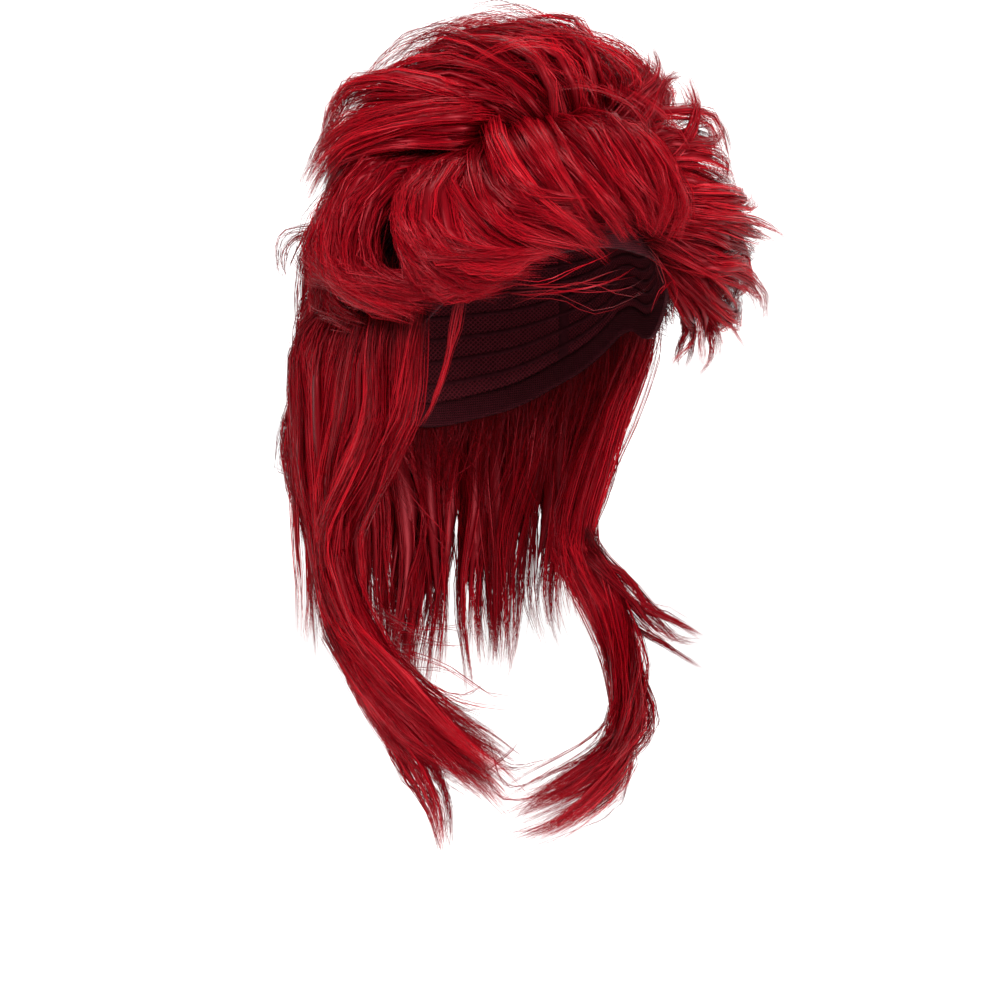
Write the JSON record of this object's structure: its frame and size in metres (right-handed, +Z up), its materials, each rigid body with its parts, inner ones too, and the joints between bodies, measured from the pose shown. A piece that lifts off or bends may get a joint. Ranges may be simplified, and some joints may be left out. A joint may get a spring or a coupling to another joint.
{
  "type": "mullet wig",
  "caption": "long-backed layered wig, a net cap with an edge band and banks of curled and hanging hair, in the shape it takes when worn",
  "frame": {"origin": "inside the cap, at the point where the top of the wearer's head touches it", "axes": "+Z up, the wearer faces -Y, +X to the wearer's left"},
  "size_m": [0.2613, 0.2522, 0.4451],
  "materials": {
    "cap_net": "stretch net, matt",
    "edge_elastic": "woven elastic, matt",
    "hair": "synthetic fibre, soft shine along the strands"
  },
  "bodies": {
    "root": {"cap_crown": "cap_net", "cap_front": "cap_net", "cap_left": "cap_net", "cap_back": "cap_net", "cap_right": "cap_net", "edge_band": "edge_elastic", "fringe_hair": "hair", "left_front_hair": "hair", "right_roll_hair": "hair", "left_roll_hair": "hair", "crown_hair": "hair", "right_length_hair": "hair", "left_length_hair": "hair", "nape_hair": "hair"}
  },
  "joints": []
}
